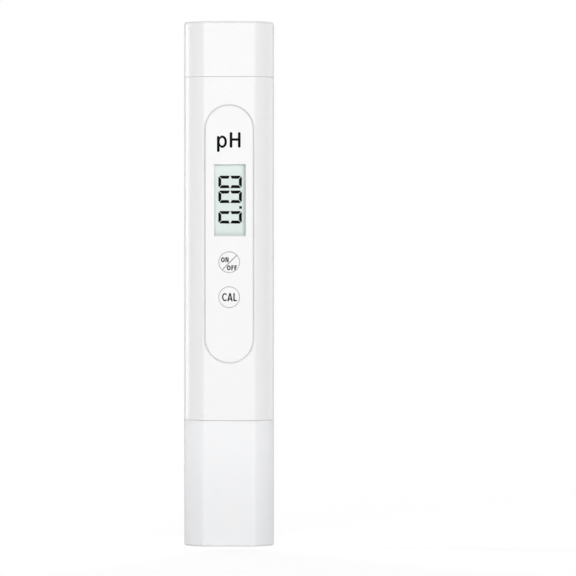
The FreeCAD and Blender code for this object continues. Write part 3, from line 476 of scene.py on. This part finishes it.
def letter_c(left, right, low, high, stroke):
    """A letter C: an oval stroke, open to the right."""
    tall = (high - low) / 2
    wide = (right - left) / 1.78
    centre = (left + wide, (low + high) / 2)
    mouth = 42
    steps = 36
    outer = arc(centre, (wide, tall), mouth, 360 - mouth, steps)
    inner = arc(centre, (wide - stroke, tall - stroke), 360 - mouth, mouth, steps)
    return [outer + inner]


def letter_a(left, right, low, high, stroke):
    """A letter A between four sides, with a flat top."""
    middle = (left + right) / 2
    half = stroke * 0.56
    foot = stroke * 1.08
    bar_low = low + (high - low) * 0.20
    bar_high = bar_low + stroke * 0.85
    run = (middle - left - half) / (high - low)

    def inside(level):
        """How far the inner side of a leg stands from the middle line at a level."""
        return middle - left - foot - 1.04 * run * (level - low)

    peak = high - stroke * 1.5
    return [[(left, low), (left + foot, low), (middle - inside(bar_low), bar_low),
             (middle + inside(bar_low), bar_low), (right - foot, low), (right, low),
             (middle + half, high), (middle - half, high)],
            [(middle - inside(bar_high), bar_high), (middle + inside(bar_high), bar_high),
             (middle, peak)]]


def display_figures():
    """Seven-segment figures that read up the pen: 0.00, with mitred and clipped segment ends.

    A figure is drawn upright in millimetres and then laid on its side, its foot to the right.
    """
    tall = 6.95
    wide = 3.68
    stroke = 0.88
    clip = 0.50
    gap = 0.105
    tip = 0.22
    side_foot = tall / 2 + 0.10
    side_slope = 0.38
    end = [(clip, tall), (wide - clip, tall), (wide - gap - tip, tall - tip),
           (wide - gap - stroke, tall - stroke), (gap + stroke, tall - stroke),
           (gap + tip, tall - tip)]
    left = [(0, tall - clip), (0, side_foot), (stroke, side_foot + side_slope),
            (stroke, tall - gap - stroke), (tip, tall - gap - tip)]
    right = [(wide - x, z) for x, z in left]
    upper_half = [end, left, right]
    figure = upper_half + [[(x, tall - z) for x, z in shape] for shape in upper_half]
    foot = 3.53
    figure_starts = (-6.87, -0.82, 3.57)
    shapes = []
    for start in figure_starts:
        shapes += [[[(foot - z, start + x) for x, z in shape]] for shape in figure]
    point = 0.78
    point_start = -2.52
    shapes.append([[(foot - point, point_start), (foot, point_start),
                    (foot, point_start + point), (foot - point, point_start + point)]])
    plates("display_figures", placed(shapes, FILM_MIDDLE.x, FILM_MIDDLE.z), FILM_FACE,
           0.03 * MM, MATERIALS["segment"], BODY)


def stroke_foot(left, low, half):
    """The round lower end of an upright stroke."""
    return arc((left + half, low + half), half, 180, 360, 12)


def stroke_top(left, high, half):
    """The round upper end of an upright stroke."""
    return arc((left + half, high - half), half, 0, 180, 12)


def small_p():
    """A small p with round stroke ends; its bowl is flatter where it meets the stem."""
    stem_left, stem_right = -3.84, -3.04
    stem_low, stem_high = -1.27, 3.48
    half = (stem_right - stem_left) / 2
    bowl = (-2.33, 1.78)
    wide, tall = 1.44, 1.84
    wide_left = 1.02
    meet = math.degrees(math.acos((stem_right - bowl[0]) / wide_left))
    outline = stroke_foot(stem_left, stem_low, half)
    outline += arc(bowl, (wide_left, tall), -meet, -90, 12)[:-1]
    outline += arc(bowl, (wide, tall), -90, 90, 32)
    outline += arc(bowl, (wide_left, tall), 90, meet, 12)[1:]
    outline += stroke_top(stem_left, stem_high, half)
    hole = oval(bowl, (0.72, 1.14))
    return [outline, hole]


def capital_h():
    """A capital H with round stroke ends."""
    left = (-0.08, 0.70)
    right = (2.35, 3.13)
    half = (left[1] - left[0]) / 2
    low, high = 0.0, 4.62
    bar_low, bar_high = 2.07, 2.77
    outline = stroke_foot(left[0], low, half)
    outline += [(left[1], bar_low), (right[0], bar_low)]
    outline += stroke_foot(right[0], low, half)
    outline += stroke_top(right[0], high, half)
    outline += [(right[0], bar_high), (left[1], bar_high)]
    outline += stroke_top(left[0], high, half)
    return [outline]


def quantity_mark():
    """The quantity that the pen shows, printed above the display in round-ended strokes."""
    rise = 15.47 * MM
    plates("quantity_mark", placed([small_p(), capital_h()], FILM_MIDDLE.x, FILM_MIDDLE.z + rise),
           PANEL_FACE, PRINT, MATERIALS["ink"], BODY)


def panel_shade_sheet():
    """A thin grey sheet at the foot of the groove round the panel: painted shade that darkens the
    groove.
    """
    middle = (PANEL_LOW + PANEL_HIGH) / 2
    half_wide = (PANEL_HIGH.x - PANEL_LOW.x) / 2 / MM
    straight = (PANEL_HIGH.z - PANEL_LOW.z) / 2 / MM - half_wide
    outer, inner = half_wide + 0.40, half_wide + 0.03
    loops = []
    for radius in (outer, inner):
        loops.append(arc((0, straight), radius, 0, 180, 64)
                     + arc((0, -straight), radius, 180, 360, 64))
    plates("panel_shade_sheet", placed([loops], middle.x, middle.z), PANEL_HIGH.y, 0.05 * MM,
           MATERIALS["shade_sheet"], BODY)


def key_middle(name):
    """The middle of a key's face."""
    low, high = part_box(name)
    return Vector(((low.x + high.x) / 2, low.y, (low.z + high.z) / 2))


def power_mark():
    """The on/off key: a grey slash with a word each side of it."""
    middle = key_middle("power_button")
    half = 0.095
    left, low = -2.03, -2.16
    right, high = 2.20, 2.05
    slash = [[[(left + half, low - half), (right + half, high - half),
               (right - half, high + half), (left - half, low + half)]]]
    plates("power_slash", placed(slash, middle.x, middle.z), middle.y, PRINT,
           MATERIALS["grey_ink"], "power_button")
    stroke = 0.33
    upper_line = (0.02, 1.50)
    lower_line = (-2.38, -0.90)
    words = [ring(-2.42, -1.30, *upper_line, stroke),
             letter_n(-1.12, -0.20, *upper_line, stroke * 0.9),
             ring(-0.72, 0.42, *lower_line, stroke),
             letter_f(0.62, 1.32, *lower_line, stroke),
             letter_f(1.52, 2.22, *lower_line, stroke)]
    plates("power_words", placed(words, middle.x, middle.z), middle.y, PRINT,
           MATERIALS["ink"], "power_button")


def calibration_mark():
    """The calibration key's short word."""
    middle = key_middle("calibration_button")
    stroke = 0.38
    line = (-1.18, 1.21)
    word = [letter_c(-2.12, -0.66, *line, stroke), letter_a(-0.58, 1.04, *line, stroke),
            letter_l(1.22, 2.24, *line, stroke)]
    plates("calibration_word", placed(word, middle.x, middle.z), middle.y, PRINT,
           MATERIALS["ink"], "calibration_button")


# ---------------------------------------------------------------- soaking sponge

def sponge():
    """Open-cell foam in the probe cap: the block's own outline, remeshed and pitted."""
    cad = NODES["soaking_sponge"]
    piece = bpy.data.objects.new("sponge_foam", cad.data.copy())
    bpy.context.scene.collection.objects.link(piece)
    low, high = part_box("soaking_sponge")
    middle = (low + high) / 2
    shrink = 0.985
    for vertex in piece.data.vertices:
        vertex.co = middle + (vertex.co - middle) * shrink
    remesh = piece.modifiers.new("fine_mesh", "REMESH")
    remesh.mode = "VOXEL"
    remesh.voxel_size = 0.3 * MM
    pores = bpy.data.textures.new("foam_pores", "VORONOI")
    pores.noise_scale = 0.9 * MM
    pitted = piece.modifiers.new("pores", "DISPLACE")
    pitted.texture = pores
    pitted.texture_coords = "LOCAL"
    pitted.strength = 0.30 * MM
    pitted.mid_level = 1.0
    piece.data.materials.clear()
    piece.data.materials.append(MATERIALS["sponge"])
    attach(piece, "probe_cap")
    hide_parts("soaking_sponge")


# ---------------------------------------------------------------- studio

FLOOR_REACH = 6.0
FLOOR_SHADE = (0.90, 0.90, 0.90)
FLOOR_GLOW = 0.44
# How far from the pen the floor begins to fade to plain white, and where it is plain white.
FADE_START, FADE_END = 0.12, 0.50
FILL = 0.11
LAMP_AIM = (0.0, 0.0, 0.08)
# Each lamp's name, place, width, height and power, and whether it shows in gloss.
LAMPS = (
    ("front_box", (0.10, -1.8, 0.30), 1.9, 1.3, 40.5, False),
    ("back_box", (-0.10, 1.8, 0.50), 1.9, 1.3, 28.0, False),
    ("top_box", (0.0, 0.0, 1.7), 1.0, 1.0, 3.0, False),
    ("left_strip", (-0.435, 0.117, 0.17), 0.055, 0.36, 0.42, True),
    ("right_strip", (0.435, 0.117, 0.17), 0.055, 0.36, 0.16, True),
)


def glow(tree, strength, kind="ShaderNodeEmission"):
    """A plain white light of a strength."""
    return node(tree, kind, {"Color": PLAIN_WHITE, "Strength": strength}).outputs[0]


def sees_background(tree):
    """1 for a ray from the camera or from gloss or clear material, else 0."""
    path = node(tree, "ShaderNodeLightPath").outputs
    direct = maths(tree, "MAXIMUM", path["Is Camera Ray"], path["Is Glossy Ray"])
    return maths(tree, "MAXIMUM", direct, path["Is Transmission Ray"])


def studio_floor():
    """A plain pale floor: it takes shadows near the pen and fades to plain white further off."""
    mesh = bpy.data.meshes.new("studio_floor")
    work = bmesh.new()
    bmesh.ops.create_grid(work, x_segments=4, y_segments=4, size=FLOOR_REACH)
    work.to_mesh(mesh)
    work.free()
    floor = bpy.data.objects.new("studio_floor", mesh)
    bpy.context.scene.collection.objects.link(floor)
    material, tree, shader, place = blank_material("pale_floor")
    set_inputs(shader, {"Base Color": rgba(FLOOR_SHADE), "Roughness": 0.9,
                        "Specular IOR Level": 0.0})
    seen = sees_background(tree)
    lift = maths(tree, "MULTIPLY", FLOOR_GLOW, seen)
    near = node(tree, "ShaderNodeAddShader", {0: shader.outputs[0], 1: glow(tree, lift)})
    away = node(tree, "ShaderNodeVectorMath", {0: place}, operation="LENGTH").outputs["Value"]
    share = node(tree, "ShaderNodeMapRange",
                 {"Value": away, "From Min": FADE_START, "From Max": FADE_END, "To Min": 0.0,
                  "To Max": 1.0}).outputs["Result"]
    far = maths(tree, "MULTIPLY", share, seen)
    mix = node(tree, "ShaderNodeMixShader", {0: far, 1: near.outputs[0], 2: glow(tree, 1.0)})
    socket(mix.outputs[0], tree.nodes["Material Output"].inputs["Surface"])
    mesh.materials.append(material)


def studio_world():
    """Even pale surroundings; plain white to the camera, in gloss and through clear parts."""
    world = bpy.data.worlds.new("studio")
    bpy.context.scene.world = world
    world.use_nodes = True
    tree = world.node_tree
    tree.nodes.clear()
    soft = glow(tree, FILL, "ShaderNodeBackground")
    white = glow(tree, 1.0, "ShaderNodeBackground")
    mix = node(tree, "ShaderNodeMixShader", {0: sees_background(tree), 1: soft, 2: white})
    out = node(tree, "ShaderNodeOutputWorld")
    socket(mix.outputs[0], out.inputs["Surface"])


def softbox(name, place, width, height, power, in_gloss):
    """A rectangular area lamp that faces the pen; it may be left out of reflections."""
    lamp = bpy.data.lights.new(name, "AREA")
    lamp.shape = "RECTANGLE"
    lamp.size = width
    lamp.size_y = height
    lamp.energy = power
    holder = bpy.data.objects.new(name, lamp)
    holder.location = place
    holder.visible_glossy = in_gloss
    holder.visible_camera = False
    holder.rotation_mode = "QUATERNION"
    holder.rotation_quaternion = (Vector(LAMP_AIM) - Vector(place)).to_track_quat("-Z", "Y")
    bpy.context.scene.collection.objects.link(holder)


def photo_camera():
    """The pen stands left of the middle, seen from a little above its middle."""
    low, high = cad_box
    middle = (Vector(low) + Vector(high)) / 2
    distance = 1.500
    turn = math.radians(-0.4)
    rise = math.radians(0.6)
    lens = bpy.data.cameras.new("photo_camera")
    lens.sensor_width = 36.0
    lens.lens = 316.1
    lens.shift_x = 0.1024
    lens.shift_y = -0.0075
    lens.clip_start = 0.01
    lens.clip_end = 50
    camera = bpy.data.objects.new("photo_camera", lens)
    away = Vector((math.sin(turn) * math.cos(rise), -math.cos(turn) * math.cos(rise),
                   math.sin(rise)))
    camera.location = middle + away * distance
    camera.rotation_mode = "QUATERNION"
    camera.rotation_quaternion = (-away).to_track_quat("-Z", "Y")
    bpy.context.scene.collection.objects.link(camera)
    bpy.context.scene.camera = camera


finish_cad_nodes()
panel_shade_sheet()
display_figures()
quantity_mark()
power_mark()
calibration_mark()
sponge()
studio_floor()
studio_world()
for lamp in LAMPS:
    softbox(*lamp)
photo_camera()
bpy.context.scene.view_settings.view_transform = "Standard"
